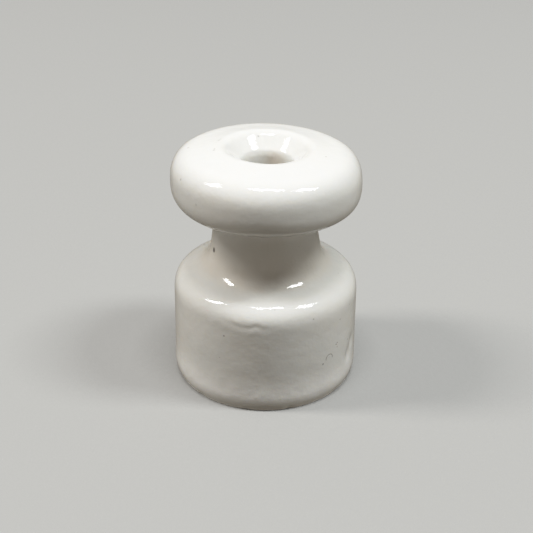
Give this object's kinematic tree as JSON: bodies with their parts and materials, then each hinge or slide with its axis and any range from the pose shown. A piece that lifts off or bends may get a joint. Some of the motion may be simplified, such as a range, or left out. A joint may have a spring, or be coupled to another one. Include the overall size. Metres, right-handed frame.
{
  "type": "fence insulator",
  "caption": "Porcelain bobbin insulator: round base, waist groove for a fence wire, thick rounded head, and a funnel-mouthed screw bore right through.",
  "frame": {"origin": "centre of the flat foot, on the screw bore's axis", "axes": "+Z along the screw bore's axis, from the foot to the head; the body is round about it, so +X and +Y are free"},
  "size_m": [0.0322, 0.0322, 0.0416],
  "materials": {
    "glazed_porcelain": "gloss glaze"
  },
  "bodies": {
    "root": {"insulator_body": "glazed_porcelain"}
  },
  "joints": []
}
